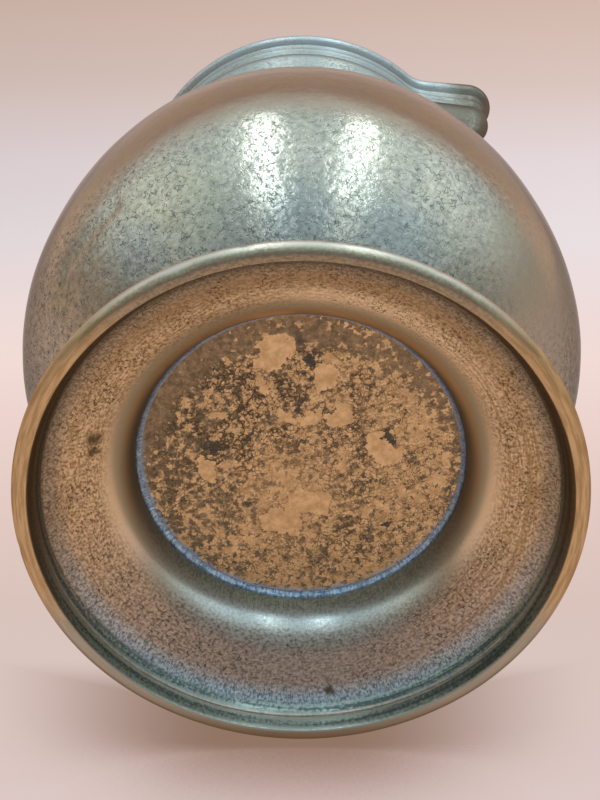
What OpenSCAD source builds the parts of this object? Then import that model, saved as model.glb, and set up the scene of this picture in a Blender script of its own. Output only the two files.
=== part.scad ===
// Brass kalash pot with a flared foot, a round belly, a ridged rim and a pouring lip.
// Millimetres, +Z up. The pot stands on its foot at z = 0, centred on the Z axis,
// with the pouring lip on +X. Profiles are drawn as [radius, height].

/* [Foot] */
// Largest radius of the foot, outside its rolled rim
foot_r = 48; // [44:0.5:52]
// Radius of the round outer edge of the rolled rim
foot_bead_r = 1.9; // [1.4:0.1:2.4]
// Width of the flat land that the pot stands on
foot_land_w = 0.8; // [0.5:0.1:1.5]
// Height of the hem folded up inside the rolled rim
foot_hem_h = 2.8; // [2:0.1:3.4]
// How far the hem leans in from the land
foot_hem_lean = 1.2; // [0.8:0.1:1.6]
// Width of the step above the hem
foot_hem_step = 0.4; // [0.2:0.1:0.6]
// Height of the underside of the flange where it meets the rim
flange_z = 5.6; // [4.5:0.1:7]
// How far the flange starts inside the hem
flange_set_in = 0.7; // [0.4:0.1:1.2]
// Radius of the hollow bend from the flange to the hem
flange_fillet_r = 5; // [3:0.5:6]
// Wall of the foot
foot_t = 1.5; // [1:0.1:2]

/* [Waist and base] */
// Inside radius of the waist
waist_r = 28.5; // [25:0.5:32]
// Radius of the bend from the waist to the flange
waist_bend_r = 11; // [9:0.5:12]
// Height where the bend ends and the upright waist begins
waist_z = 19; // [17:0.2:21]
// Length of the upright waist
waist_h = 3.2; // [2.6:0.1:5]
// Thickness of the base disc
disc_t = 1.4; // [1:0.1:2]
// How far the top of the base disc lies below the top of the waist
disc_drop = 2.8; // [2:0.1:4]
// Gap between disc and waist that the solder fills
solder_gap = 0.3; // [0.1:0.05:0.5]
// Leg of the solder fillet round the disc
solder_leg = 0.8; // [0.5:0.1:1.2]

/* [Belly] */
// Largest radius of the belly
belly_r = 53.5; // [50:0.5:58]
// Height of the widest line of the belly
belly_z = 56.5; // [52:0.5:64]
// Radius of the side just above the widest line, seen in section
side_arc_r = 95; // [80:1:115]
// Angle over which the side runs before the shoulder turns in
side_angle = 18; // [14:1:21]
// Radius of the shoulder, seen in section
shoulder_arc_r = 36; // [33:0.5:40]
// Slope of the shoulder, off the vertical, where the neck begins
shoulder_angle = 56; // [50:1:60]
// Sheet thickness of the two bowls
sheet_t = 1.2; // [0.8:0.1:1.6]
// Width of the brazed seams
seam_w = 0.5; // [0.3:0.05:0.8]
// Leg of the braze fillet in the corner under the belly
braze_leg = 1.3; // [0.8:0.1:2]

/* [Mouth] */
// Height of the pot
pot_h = 146; // [140:0.2:156]
// Outside radius of the neck at its narrowest
neck_r = 29.4; // [27:0.2:31]
// Wall of the cast neck
cast_t = 1.4; // [1:0.1:2]
// Inside radius at the bottom of the ridged rim
mouth_bore_r = 32.2; // [30:0.2:34]
// Height of the ridged rim
rim_h = 14.4; // [14:0.2:17]
// Wall at the bottom of the ridged rim
rim_t = 1.7; // [1.2:0.1:2.4]
// How far the rim flares out between its bottom and its edge
rim_flare = 3.2; // [1.5:0.1:4.5]
// Radius of the round bead along the edge of the rim
edge_bead_r = 1.3; // [1:0.05:1.4]
// Height of the wide ridge at the bottom of the rim
wide_ridge_h = 6.2; // [5:0.1:6.6]
// How far the wide ridge stands out
wide_ridge_out = 1.2; // [0.6:0.1:2]
// Height of the narrow ridge above it
narrow_ridge_h = 2.3; // [1.6:0.1:2.5]
// How far the narrow ridge stands out
narrow_ridge_out = 0.7; // [0.3:0.1:1]
// Height of the fine ridge next to the bead
fine_ridge_h = 1.6; // [1:0.1:1.9]
// How far the fine ridge stands out
fine_ridge_out = 0.5; // [0.2:0.1:0.8]
// Height of the groove between and under the ridges
groove_h = 0.45; // [0.3:0.05:0.55]

/* [Pouring lip] */
// Distance from the axis to the tip of the pouring channel, inside
channel_reach = 43.4; // [40:0.2:47]
// Radius of the pouring channel at its tip, inside
channel_tip_r = 0.8; // [0.5:0.1:3]
// Angle off the lip's middle where the rim starts to turn out into the lip
lip_root_angle = 21.7; // [19:0.1:26]
// Radius of the bend from the rim into the lip, inside
lip_bend_r = 12.9; // [11:0.1:16]
// How much rounder the keel under the lip is where it leaves the neck
keel_r = 8; // [4:0.5:12]
// Share by which the ridges spread apart at the tip of the lip
lip_spread = 0.3; // [0:0.05:0.5]

/* [Hidden] */

// Angle between points on a curve, and facets of a full turn
arc_step = 4;
$fn = 120;

aged_brass = [0.60, 0.59, 0.52];
gold_brass = [0.72, 0.55, 0.36];
dark_brass = [0.55, 0.42, 0.28];
solder_grey = [0.66, 0.72, 0.80];
braze_gold = [0.74, 0.62, 0.38];

// Points along an arc of radius r about c, from angle a0 to angle a1
function arc(c, r, a0, a1) =
    let (n = max(2, ceil(abs(a1 - a0) / arc_step)))
    [for (i = [0 : n]) let (a = a0 + (a1 - a0) * i / n) c + r * direction(a)];

// Points along a hollow fillet from a to b that bends towards the corner c
function fillet(a, c, b, n = 6) =
    [for (i = [0 : n]) let (u = i / n) (1 - u) * (1 - u) * a + 2 * u * (1 - u) * c + u * u * b];

// Unit vector at an angle
function direction(a) = [cos(a), sin(a)];

// Radius where a level line meets a circle about c, and height where an upright line meets it below c
function radius_at(c, r, z) = c[0] + sqrt(r * r - pow(z - c[1], 2));
function height_below(c, r, x) = c[1] - sqrt(r * r - pow(x - c[0], 2));

// Foot: the flange is the tangent from the rim to the bend of the waist
waist_top = waist_z + waist_h;
waist_out_r = waist_r + foot_t;
bend_c = [waist_r + waist_bend_r, waist_z];
land_in_r = foot_r - foot_bead_r - foot_land_w;
hem_r = land_in_r - foot_hem_lean;
flange_end = [hem_r - flange_set_in, flange_z];
to_rim = flange_end - bend_c;
flange_dir = atan2(to_rim[1], to_rim[0]) + 360 - acos(waist_bend_r / norm(to_rim));
flange_normal = -direction(flange_dir);
hem_step_end = [hem_r + foot_hem_step, foot_hem_h + foot_hem_step];
to_hem = hem_step_end - flange_end;
hem_dir = atan2(to_hem[1], to_hem[0]) + 270;
fillet_turn = flange_dir - hem_dir;
fillet_c = flange_end
    + flange_fillet_r / cos(fillet_turn / 2) * direction((flange_dir + hem_dir) / 2);

// Base disc
disc_z = waist_top - disc_drop - disc_t;
disc_r = waist_r - solder_gap;

// Lower bowl: one arc from the widest line to the top of the waist, cut square to the sheet there
bowl_z = waist_top + seam_w;
bowl_in = belly_r - waist_out_r;
bowl_drop = belly_z - bowl_z;
bowl_arc_r = (bowl_in * bowl_in + bowl_drop * bowl_drop) / (2 * bowl_in);
bowl_c = [belly_r - bowl_arc_r, belly_z];
bowl_in_r = bowl_arc_r - sheet_t;
bowl_foot_angle = atan2(-bowl_drop, waist_out_r - bowl_c[0]);

// Upper bowl: the flat arc of the side, then the tighter arc of the shoulder
side_c = [belly_r - side_arc_r, belly_z];
shoulder_c = side_c + (side_arc_r - shoulder_arc_r) * direction(side_angle);
shoulder_end = shoulder_c + shoulder_arc_r * direction(shoulder_angle);
shoulder_in_r = radius_at(shoulder_c, shoulder_arc_r - sheet_t, shoulder_end[1]);

// Neck: a hollow bend off the shoulder, then a slow flare up to the rim
neck_base = shoulder_end + seam_w * [-tan(shoulder_angle), 1];
neck_bend_r = (neck_base[0] - neck_r) / (1 - cos(shoulder_angle));
neck_z = neck_base[1] + neck_bend_r * sin(shoulder_angle);
neck_c = [neck_r + neck_bend_r, neck_z];
neck_in_r = neck_c[0] - sqrt(pow(neck_bend_r + cast_t, 2) - pow(neck_z - neck_base[1], 2));
rim_z = pot_h - rim_h;
rim_base_r = mouth_bore_r + rim_t;
flare_out = rim_base_r - neck_r;
flare_r = (flare_out * flare_out + pow(rim_z - neck_z, 2)) / (2 * flare_out);
flare_angle = asin((rim_z - neck_z) / flare_r);
edge_r = rim_base_r + rim_flare;

// Turned foot with a rolled rim, a sloping flange and an upright waist
module foot_ring()
{
    under_bend = arc(bend_c, waist_bend_r, 180, flange_dir);
    upper_bend = arc(bend_c, waist_bend_r - foot_t, flange_dir, 180);
    bead_c = [foot_r - foot_bead_r, foot_bead_r];
    bead_end_angle = 75;
    profile = concat(
        [[waist_r, waist_top]],
        under_bend,
        arc(fillet_c, flange_fillet_r, flange_dir - 180, hem_dir - 180),
        [
            hem_step_end,
            [hem_r, foot_hem_h],
            [land_in_r, 0]
        ],
        arc(bead_c, foot_bead_r, -90, bead_end_angle),
        [flange_end + foot_t * flange_normal],
        upper_bend,
        [[waist_out_r, waist_top]]
    );
    color(gold_brass)
        rotate_extrude() polygon(profile);
}

// Flat plate that closes the waist and is the floor of the pot
module base_disc()
{
    color(dark_brass)
        translate([0, 0, disc_z]) cylinder(h = disc_t, r = disc_r);
}

// Ring of solder that fills the gap round the disc, with a hollow fillet underneath
module base_solder()
{
    wall_angle = 180 + asin((waist_z - disc_z + solder_leg) / waist_bend_r);
    wall_end = bend_c + waist_bend_r * direction(wall_angle);
    profile = concat(
        [
            [waist_r, disc_z + disc_t],
            [disc_r, disc_z + disc_t],
            [disc_r, disc_z]
        ],
        fillet(
            [waist_r - solder_leg, disc_z],
            [waist_r - solder_gap, disc_z - solder_gap],
            wall_end
        ),
        arc(bend_c, waist_bend_r, wall_angle, 180)
    );
    color(solder_grey)
        rotate_extrude() polygon(profile);
}

// Braze between the waist and the lower bowl, with a fillet in the outside corner and a slope inside
module waist_braze()
{
    top_r = waist_out_r + braze_leg;
    top = [top_r, height_below(bowl_c, bowl_arc_r, top_r)];
    corner = [waist_out_r, bowl_z];
    profile = concat(
        [
            bowl_c + bowl_in_r * direction(bowl_foot_angle),
            [waist_r, waist_top],
            [waist_out_r, waist_top]
        ],
        fillet([waist_out_r, waist_top - braze_leg], corner, top),
        [corner]
    );
    color(braze_gold)
        rotate_extrude() polygon(profile);
}

// Lower half of the belly, open at the waist
module lower_bowl()
{
    edge_angle = function (r) -asin(seam_w / 2 / r);
    profile = concat(
        arc(bowl_c, bowl_arc_r, bowl_foot_angle, edge_angle(bowl_arc_r)),
        arc(bowl_c, bowl_in_r, edge_angle(bowl_in_r), bowl_foot_angle)
    );
    color(aged_brass)
        rotate_extrude() polygon(profile);
}

// Braze along the widest line of the belly, filed flush
module belly_braze()
{
    color(braze_gold)
        rotate_extrude()
            translate([belly_r - sheet_t, belly_z - seam_w / 2]) square([sheet_t, seam_w]);
}

// Upper half of the belly with the shoulder, open at the neck
module upper_bowl()
{
    edge_angle = function (r) asin(seam_w / 2 / r);
    in_side_r = side_arc_r - sheet_t;
    in_shoulder_r = shoulder_arc_r - sheet_t;
    in_end = asin((shoulder_end[1] - shoulder_c[1]) / in_shoulder_r);
    profile = concat(
        arc(side_c, side_arc_r, edge_angle(side_arc_r), side_angle),
        arc(shoulder_c, shoulder_arc_r, side_angle, shoulder_angle),
        arc(shoulder_c, in_shoulder_r, in_end, side_angle),
        arc(side_c, in_side_r, side_angle, edge_angle(in_side_r))
    );
    color(aged_brass)
        rotate_extrude() polygon(profile);
}

// Braze between the shoulder and the cast neck, filed flush
module neck_braze()
{
    profile = [
        shoulder_end,
        neck_base,
        [neck_in_r, neck_base[1]],
        [shoulder_in_r, shoulder_end[1]]
    ];
    color(braze_gold)
        rotate_extrude() polygon(profile);
}

// Mouth: rings of [radius, height, share of the pouring lip in the ring].
// The share eases from 0 on the round neck to 1 at the bottom of the ridged rim.
function lip_share(z) =
    let (u = max(0, min(1, (z - neck_z) / (rim_z - neck_z)))) u * u * (3 - 2 * u);
function neck_ring(p) = [p[0], p[1], lip_share(p[1])];
function rim_line(depth) = rim_base_r + (rim_flare - edge_bead_r) * (1 - depth / rim_h);
function ridge(top, h, out, n) =
    [for (i = [n : -1 : 0]) let (depth = top + h * i / n)
        [rim_line(depth) + out * sin(180 * i / n), pot_h - depth, 1]];

neck_steps = 5;
flare_steps = 6;
wide_ridge_steps = 8;
narrow_ridge_steps = 4;
edge_steps = 6;
edge_start = -60;
edge_turn = 240;
wide_ridge_top = rim_h - groove_h - wide_ridge_h;
narrow_ridge_top = wide_ridge_top - groove_h - narrow_ridge_h;
fine_ridge_top = narrow_ridge_top - groove_h - fine_ridge_h;
edge_c = [edge_r - edge_bead_r, pot_h - edge_bead_r];
edge_in_r = edge_r - 2 * edge_bead_r;
flare_c = [neck_r + flare_r, neck_z];
neck_in_bend_r = neck_bend_r + cast_t;
neck_in_angle = asin((neck_z - neck_base[1]) / neck_in_bend_r);

outer_rings = concat(
    [for (i = [0 : neck_steps]) let (a = shoulder_angle * (1 - i / neck_steps))
        neck_ring(neck_c - neck_bend_r * direction(a))],
    [for (i = [1 : flare_steps]) let (a = flare_angle * i / flare_steps)
        neck_ring(flare_c + flare_r * direction(180 - a))],
    ridge(wide_ridge_top, wide_ridge_h, wide_ridge_out, wide_ridge_steps),
    ridge(narrow_ridge_top, narrow_ridge_h, narrow_ridge_out, narrow_ridge_steps),
    ridge(fine_ridge_top, fine_ridge_h, fine_ridge_out, narrow_ridge_steps),
    [for (i = [0 : edge_steps]) let (a = edge_start + edge_turn * i / edge_steps)
        concat(edge_c + edge_bead_r * direction(a), 1)]
);
inner_rings = concat(
    [
        [(mouth_bore_r + edge_in_r) / 2, pot_h - rim_h / 2, 1],
        [mouth_bore_r, rim_z, 1]
    ],
    [for (i = [flare_steps - 1 : -1 : 1]) let (a = flare_angle * i / flare_steps)
        neck_ring(flare_c + (flare_r + cast_t) * direction(180 - a))],
    [for (i = [0 : neck_steps])
        neck_ring(neck_c - neck_in_bend_r * direction(neck_in_angle * i / neck_steps))]
);
mouth_rings = concat(outer_rings, inner_rings);

// Plan of the mouth along its inner wall, as [point, outward normal]: the round of the lip's tip,
// the straight side of the lip, the bend off the rim, and the rim. The side is the tangent
// between the tip and the bend, and half a plan runs from the tip to the back.
tip_steps = 6;
side_steps = 3;
bend_steps = 5;
rim_steps = 30;
lip_bend_c = (mouth_bore_r + lip_bend_r) * direction(lip_root_angle);

function half_plan(reach, tip_r) =
    let (
        tip_c = [reach - tip_r, 0],
        across = lip_bend_c - tip_c,
        side = atan2(across[1], across[0]) - acos((tip_r + lip_bend_r) / norm(across)),
        side_from = tip_c + tip_r * direction(side),
        side_to = lip_bend_c - lip_bend_r * direction(side)
    )
    concat(
        [for (i = [0 : tip_steps]) let (a = side * i / tip_steps)
            [tip_c + tip_r * direction(a), direction(a)]],
        [for (i = [1 : side_steps]) let (u = i / side_steps)
            [(1 - u) * side_from + u * side_to, direction(side)]],
        [for (i = [1 : bend_steps]) let (a = side + (lip_root_angle - side) * i / bend_steps)
            [lip_bend_c - lip_bend_r * direction(a), direction(a)]],
        [for (i = [1 : rim_steps]) let (a = lip_root_angle + (180 - lip_root_angle) * i / rim_steps)
            [mouth_bore_r * direction(a), direction(a)]]
    );
function flipped(p) = [p[0], -p[1]];
function whole_plan(half) =
    concat(half, [for (i = [len(half) - 2 : -1 : 1]) [flipped(half[i][0]), flipped(half[i][1])]]);

// Plan of one ring: low on the neck the lip reaches less far and its tip is rounder
lip_reach = channel_reach - mouth_bore_r;
function ring_plan(ring) =
    whole_plan(half_plan(mouth_bore_r + lip_reach * ring[2], channel_tip_r + keel_r * (1 - ring[2])));

// A point of a ring, sunk towards the tip of the lip where the ridges spread
function mouth_point(ring, q) =
    let (
        on_neck = ring[0] * q[0] / norm(q[0]),
        on_lip = q[0] + (ring[0] - mouth_bore_r) * q[1],
        p = (1 - ring[2]) * on_neck + ring[2] * on_lip,
        reach = max(0, norm(q[0]) - mouth_bore_r) / lip_reach,
        sink = lip_spread * reach * ring[2] * min(rim_h, pot_h - ring[1])
    )
    [p[0], p[1], ring[1] - sink];

// Cast neck, ridged rim and pouring lip: one wall lofted through the rings
module mouth()
{
    points = [for (ring = mouth_rings) for (q = ring_plan(ring)) mouth_point(ring, q)];
    m = len(mouth_rings);
    n = len(points) / m;
    faces = [
        for (i = [0 : m - 1], j = [0 : n - 1], half = [0, 1])
            let (
                next_i = (i + 1) % m,
                next_j = (j + 1) % n,
                here = i * n + j,
                beside = i * n + next_j,
                above = next_i * n + j,
                across = next_i * n + next_j
            )
            half == 0 ? [here, above, across] : [here, across, beside]
    ];
    color(aged_brass)
        polyhedron(points, faces);
}

foot_ring();
base_disc();
base_solder();
waist_braze();
lower_bowl();
belly_braze();
upper_bowl();
neck_braze();
mouth();
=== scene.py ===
import math

import bmesh
import bpy
import numpy as np
from mathutils import Matrix, Vector, noise


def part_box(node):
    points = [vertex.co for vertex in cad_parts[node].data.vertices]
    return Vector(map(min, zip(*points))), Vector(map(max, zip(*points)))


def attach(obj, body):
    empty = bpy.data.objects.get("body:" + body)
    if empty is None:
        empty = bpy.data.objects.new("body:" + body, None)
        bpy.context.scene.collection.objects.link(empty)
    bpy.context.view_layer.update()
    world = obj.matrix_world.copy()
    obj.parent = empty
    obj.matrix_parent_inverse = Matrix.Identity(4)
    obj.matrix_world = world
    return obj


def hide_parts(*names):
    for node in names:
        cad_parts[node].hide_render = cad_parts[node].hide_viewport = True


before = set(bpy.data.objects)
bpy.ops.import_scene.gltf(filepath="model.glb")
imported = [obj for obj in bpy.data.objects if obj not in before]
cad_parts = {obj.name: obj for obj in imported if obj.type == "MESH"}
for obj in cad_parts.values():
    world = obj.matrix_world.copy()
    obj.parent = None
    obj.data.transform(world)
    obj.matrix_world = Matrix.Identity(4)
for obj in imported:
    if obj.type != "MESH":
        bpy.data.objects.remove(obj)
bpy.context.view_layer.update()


# Foot: a trumpet of spun brass with a hemmed rim, a sloping flange and an upright waist.
# It is turned on a lathe inside and out, never polished underneath, and brazed under the belly.
foot_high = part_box("foot_ring")[1]
foot_radius = foot_high.x
waist_top = foot_high.z
rim_round = 0.0019
rim_roll_end = 75
land_width = 0.0008
hem_height = 0.0028
hem_lean = 0.0012
hem_step = 0.0004
flange_height = 0.0056
flange_set_in = 0.0007
flange_fillet = 0.0050
foot_wall = 0.0015
waist_inside = 0.0285
waist_bend = 0.0110
waist_start = 0.0190
foot_corner = 0.0005
foot_step = 0.0006
foot_segments = 420
lain_on = (-0.47, 0.88, 0.0)
lain_across = (0.88, 0.47, 0.0)


def at(first, second):
    """A point of an outline or of a plan."""
    return np.array((first, second))


def polar(centre, radius, angle):
    """The point at an angle, in degrees, on a circle."""
    turn = math.radians(angle)
    return at(centre[0] + radius * math.cos(turn), centre[1] + radius * math.sin(turn))


def heading(way):
    """The angle of a direction, in degrees."""
    return math.degrees(math.atan2(way[1], way[0]))


def arc(centre, radius, start, end, step=0.0005):
    """Points of a round stretch of an outline, between two angles in degrees."""
    count = max(4, math.ceil(abs(math.radians(end - start)) * radius / step))
    return [polar(centre, radius, start + (end - start) * i / count) for i in range(count + 1)]


def bend(start, corner, end, count):
    """Points of a curve that leaves for a corner and turns to its end before it gets there."""
    return [(1 - u) ** 2 * start + 2 * u * (1 - u) * corner + u * u * end for u in np.linspace(0, 1, count)]


def eased(points, radius, sharpest=25, side_parts=2.2):
    """A closed outline with each corner sharper than an angle rounded over.
    A rounding reaches along a side by at most its length over side_parts."""
    made = []
    for i, corner in enumerate(points):
        before, after = points[i - 1], points[(i + 1) % len(points)]
        into, out = corner - before, after - corner
        turn = abs(math.degrees(math.atan2(into[0] * out[1] - into[1] * out[0], into @ out)))
        if turn < sharpest:
            made.append(corner)
            continue
        reach = min(radius, np.linalg.norm(into) / side_parts, np.linalg.norm(out) / side_parts)
        start = corner - into / np.linalg.norm(into) * reach
        end = corner + out / np.linalg.norm(out) * reach
        made += bend(start, corner, end, 6)
    return made


def spaced(points, step):
    """A closed outline with points added along its straight stretches."""
    made = []
    for i, point in enumerate(points):
        after = points[(i + 1) % len(points)]
        count = max(1, math.ceil(np.linalg.norm(after - point) / step))
        made += [point + (after - point) * k / count for k in range(count)]
    return np.array(made)


def waves(points, size, seed):
    """Smooth noise at points, from -1 to 1, with bumps of about that size."""
    shift = Vector((seed * 3.7, seed * 1.3, seed * 7.1))
    return np.array([noise.noise(Vector(p) / size + shift) for p in points])


def sunken(points, depth, size, seed):
    """Smooth hollows at points, from 0 to twice a depth."""
    return depth * (1 + waves(points, size, seed))


def mesh_piece(name, points, run, segments, finish, cad_node):
    """A smooth piece that stands for a CAD node and rides with the pot. Its points lie in closed
    rings, and run says how far round the outline each ring lies, from 0 to 1."""
    weld, sharp_angle = 1e-7, math.radians(48)
    rings = len(run) - 1
    i, j = (k.ravel() for k in np.meshgrid(np.arange(rings), np.arange(segments), indexing="ij"))
    here, after = i * segments, (i + 1) % rings * segments
    next_j = (j + 1) % segments
    faces = np.column_stack((here + j, here + next_j, after + next_j, after + j))
    u = np.column_stack((j, j + 1, j + 1, j)) / segments
    v = np.column_stack((run[i], run[i], run[i + 1], run[i + 1]))
    mesh = bpy.data.meshes.new(name)
    mesh.from_pydata(points.tolist(), [], faces.tolist())
    layer = mesh.uv_layers.new(name="OFBake")
    layer.uv.foreach_set("vector", np.stack((u, v), -1).astype(np.float32).ravel())
    shell = bmesh.new()
    shell.from_mesh(mesh)
    bmesh.ops.remove_doubles(shell, verts=shell.verts, dist=weld)
    shell.to_mesh(mesh)
    shell.free()
    mesh.shade_smooth()
    mesh.set_sharp_from_angle(angle=sharp_angle)
    mesh.materials.append(finish)
    piece = bpy.data.objects.new(name, mesh)
    bpy.context.scene.collection.objects.link(piece)
    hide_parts(cad_node)
    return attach(piece, "root")


def turned(flat, upright, turns):
    """Radii and heights carried round the axis, as points or as directions."""
    x, y = np.outer(flat, np.cos(turns)), np.outer(flat, np.sin(turns))
    return np.stack((x, y, np.repeat(upright[:, None], len(turns), 1)), -1).reshape(-1, 3)


def turned_piece(name, outline, segments, finish, cad_node, worn):
    """A ring turned from a closed outline of (radius, height) points.
    worn gives how each point has been pushed out of true."""
    outline = np.asarray(outline)
    after = np.roll(outline, -1, 0)
    if (outline[:, 0] * after[:, 1] - after[:, 0] * outline[:, 1]).sum() < 0:
        outline = outline[::-1]
    forward = np.roll(outline, -1, 0) - np.roll(outline, 1, 0)
    forward /= np.linalg.norm(forward, axis=1)[:, None]
    turns = np.linspace(0, 2 * math.pi, segments, endpoint=False)
    points = turned(outline[:, 0], outline[:, 1], turns)
    outward = turned(forward[:, 1], -forward[:, 0], turns)
    points = points + worn(points, outward)
    run = np.concatenate(([0], np.cumsum(np.linalg.norm(np.roll(outline, -1, 0) - outline, axis=1))))
    return mesh_piece(name, points, run / run[-1], segments, finish, cad_node)


def node(kind, inputs, **settings):
    """A shader node in the tree of the outputs that feed it. Each input is an output or a value."""
    fed = {key: value for key, value in inputs.items() if isinstance(value, bpy.types.NodeSocket)}
    tree = next(iter(fed.values())).id_data
    made = tree.nodes.new("ShaderNode" + kind)
    for key, value in settings.items():
        setattr(made, key, value)
    for key, value in inputs.items():
        if key in fed:
            tree.links.new(value, made.inputs[key])
        else:
            made.inputs[key].default_value = value
    return made


def source(tree, kind):
    """The outputs of a shader node that nothing feeds."""
    return tree.nodes.new("ShaderNode" + kind).outputs


def new_finish(name, **constants):
    """A metal finish: its material, its shader, and where on the pot each point lies."""
    finish = bpy.data.materials.new(name)
    finish.use_nodes = True
    skin = finish.node_tree.nodes["Principled BSDF"]
    for key, value in constants.items():
        skin.inputs[key.replace("_", " ")].default_value = value
    return finish, skin, source(finish.node_tree, "TexCoord")["Object"]


def dressed(skin, **looks):
    """Links each look to the shader's socket of that name."""
    for key, value in looks.items():
        skin.id_data.links.new(value, skin.inputs[key.replace("_", " ")])


def maths(operation, first, second=0.0):
    return node("Math", {0: first, 1: second}, operation=operation).outputs[0]


def cloud(place, size, detail=2.0, rough=0.5, output="Fac"):
    """Soft noise with blotches of about that size, in metres."""
    inputs = {"Vector": place, "Scale": 1 / size, "Detail": detail, "Roughness": rough}
    return node("TexNoise", inputs).outputs[output]


def step_up(value, low, high, top=1.0):
    """0 below low, rising smoothly to top at high."""
    inputs = {"Value": value, "From Min": low, "From Max": high, "To Max": top}
    return node("MapRange", inputs, interpolation_type="SMOOTHSTEP").outputs["Result"]


def blend(share, low, high):
    """A colour between two others. Each is an output, or red, green and blue."""
    low, high = ((*c, 1) if isinstance(c, tuple) else c for c in (low, high))
    return node("Mix", {0: share, 6: low, 7: high}, data_type="RGBA").outputs[2]


def between(share, low, high):
    """A number between two others."""
    return node("Mix", {0: share, 2: low, 3: high}, data_type="FLOAT").outputs[0]


def vectors(operation, first, second):
    return node("VectorMath", {0: first, 1: second}, operation=operation).outputs


def pulled(place, size, stray):
    """Places pulled out of true by noise, so that what is drawn there goes ragged."""
    pull = cloud(place, size, 4.0, 0.6, "Color")
    pull = vectors("SUBTRACT", pull, (0.5, 0.5, 0.5))[0]
    pull = node("VectorMath", {0: pull, "Scale": stray}, operation="SCALE").outputs[0]
    return vectors("ADD", place, pull)[0]


def wriggles(place, size, width):
    """1 along thin curled cracks, in loops of about that size."""
    field = cloud(place, size, 1.0)
    return step_up(maths("ABSOLUTE", maths("SUBTRACT", field, 0.5)), width, 0.0)


def most(*shares):
    """The largest of several shares."""
    made = shares[0]
    for share in shares[1:]:
        made = maths("MAXIMUM", made, share)
    return made


def both(*shares):
    """Several shares multiplied together."""
    made = shares[0]
    for share in shares[1:]:
        made = maths("MULTIPLY", made, share)
    return made


def rest(share, amount=1.0):
    """What a share leaves over."""
    return maths("SUBTRACT", 1.0, both(share, amount))


def mixed(first, second, share=0.5):
    """Two patterns added, with a share for the first and what is left for the second."""
    return maths("ADD", both(first, share), both(second, 1 - share))


def tinted(colour, shade, *shares):
    """A colour turned towards a shade, as far as several shares allow together."""
    return blend(both(*shares), colour, shade)


def round_spot(place, centre, size):
    """A soft round share that fades out at a distance from a point."""
    apart = vectors("DISTANCE", place, centre)["Value"]
    return step_up(apart, size, size * 0.25)


def spots(place, *marks):
    """Soft round shares together, each given by its centre and its size."""
    return most(*(round_spot(place, centre, size) for centre, size in marks))


def relief(skin, *layers):
    """Stacks bumps on the skin. Each layer is a height from 0 to 1 and its depth in metres."""
    made = None
    for height, depth in layers:
        inputs = {"Height": height, "Distance": abs(depth), "Strength": 1.0}
        if made:
            inputs["Normal"] = made
        made = node("Bump", inputs, invert=depth < 0).outputs["Normal"]
    dressed(skin, Normal=made)


def distance_from_axis(place):
    flat = vectors("MULTIPLY", place, (1.0, 1.0, 0.0))[0]
    return node("VectorMath", {0: flat}, operation="LENGTH").outputs["Value"]


def height_of(place):
    return node("SeparateXYZ", {0: place}).outputs["Z"]


def along(place, direction):
    """How far a place lies along a direction."""
    return vectors("DOT_PRODUCT", place, direction)["Value"]


def towards(place, direction, low, high):
    """A share that rises between two distances along a direction."""
    return step_up(along(place, direction), low, high)


def turning_lines(place, radius, pitch, drift=25.0):
    """Rings cut by the lathe tool, uneven and broken along their length."""
    split = node("SeparateXYZ", {0: place}).outputs
    across = both(radius, 1 / pitch)
    drift_x, drift_y = both(split["X"], drift), both(split["Y"], drift)
    rings = node("CombineXYZ", {0: across, 1: drift_x, 2: drift_y}).outputs[0]
    return cloud(rings, 1.0)


def lathe_marks(place, radius, length, pitch):
    """Marks of a given length round the axis and a given pitch across it."""
    split = node("SeparateXYZ", {0: place}).outputs
    turn = maths("ARCTAN2", split["Y"], split["X"])
    around = both(turn, 0.9 * foot_radius / length)
    marks = node("CombineXYZ", {0: around, 1: both(radius, 1 / pitch)}).outputs[0]
    return cloud(marks, 1.0, 2.0, 0.6)


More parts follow.
